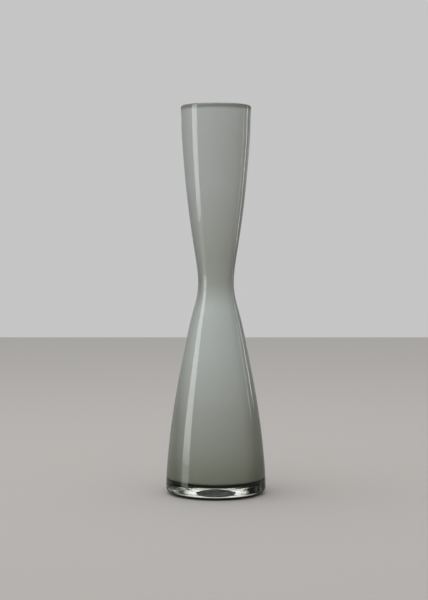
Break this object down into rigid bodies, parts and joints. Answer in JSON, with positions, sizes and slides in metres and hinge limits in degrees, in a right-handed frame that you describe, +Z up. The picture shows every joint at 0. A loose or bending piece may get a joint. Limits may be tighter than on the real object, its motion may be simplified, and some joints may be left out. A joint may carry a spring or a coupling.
{
  "type": "cased glass bud vase",
  "caption": "Tall slender bud vase of cased glass: a smoky clear outer layer with a solid foot over an opaque opal lining, narrow at the waist.",
  "frame": {"origin": "middle of the standing ring under the foot, on the surface that the vase stands on", "axes": "+Z up along the vase's axis of revolution; +X and +Y are free, because the vase is round"},
  "size_m": [0.0724, 0.0724, 0.28],
  "materials": {
    "smoke_glass": "fire-polished, clear, light smoky grey-green",
    "opal_glass": "smooth, opaque pale grey-green opal"
  },
  "bodies": {
    "root": {"smoke_casing": "smoke_glass", "opal_lining": "opal_glass"}
  },
  "joints": []
}
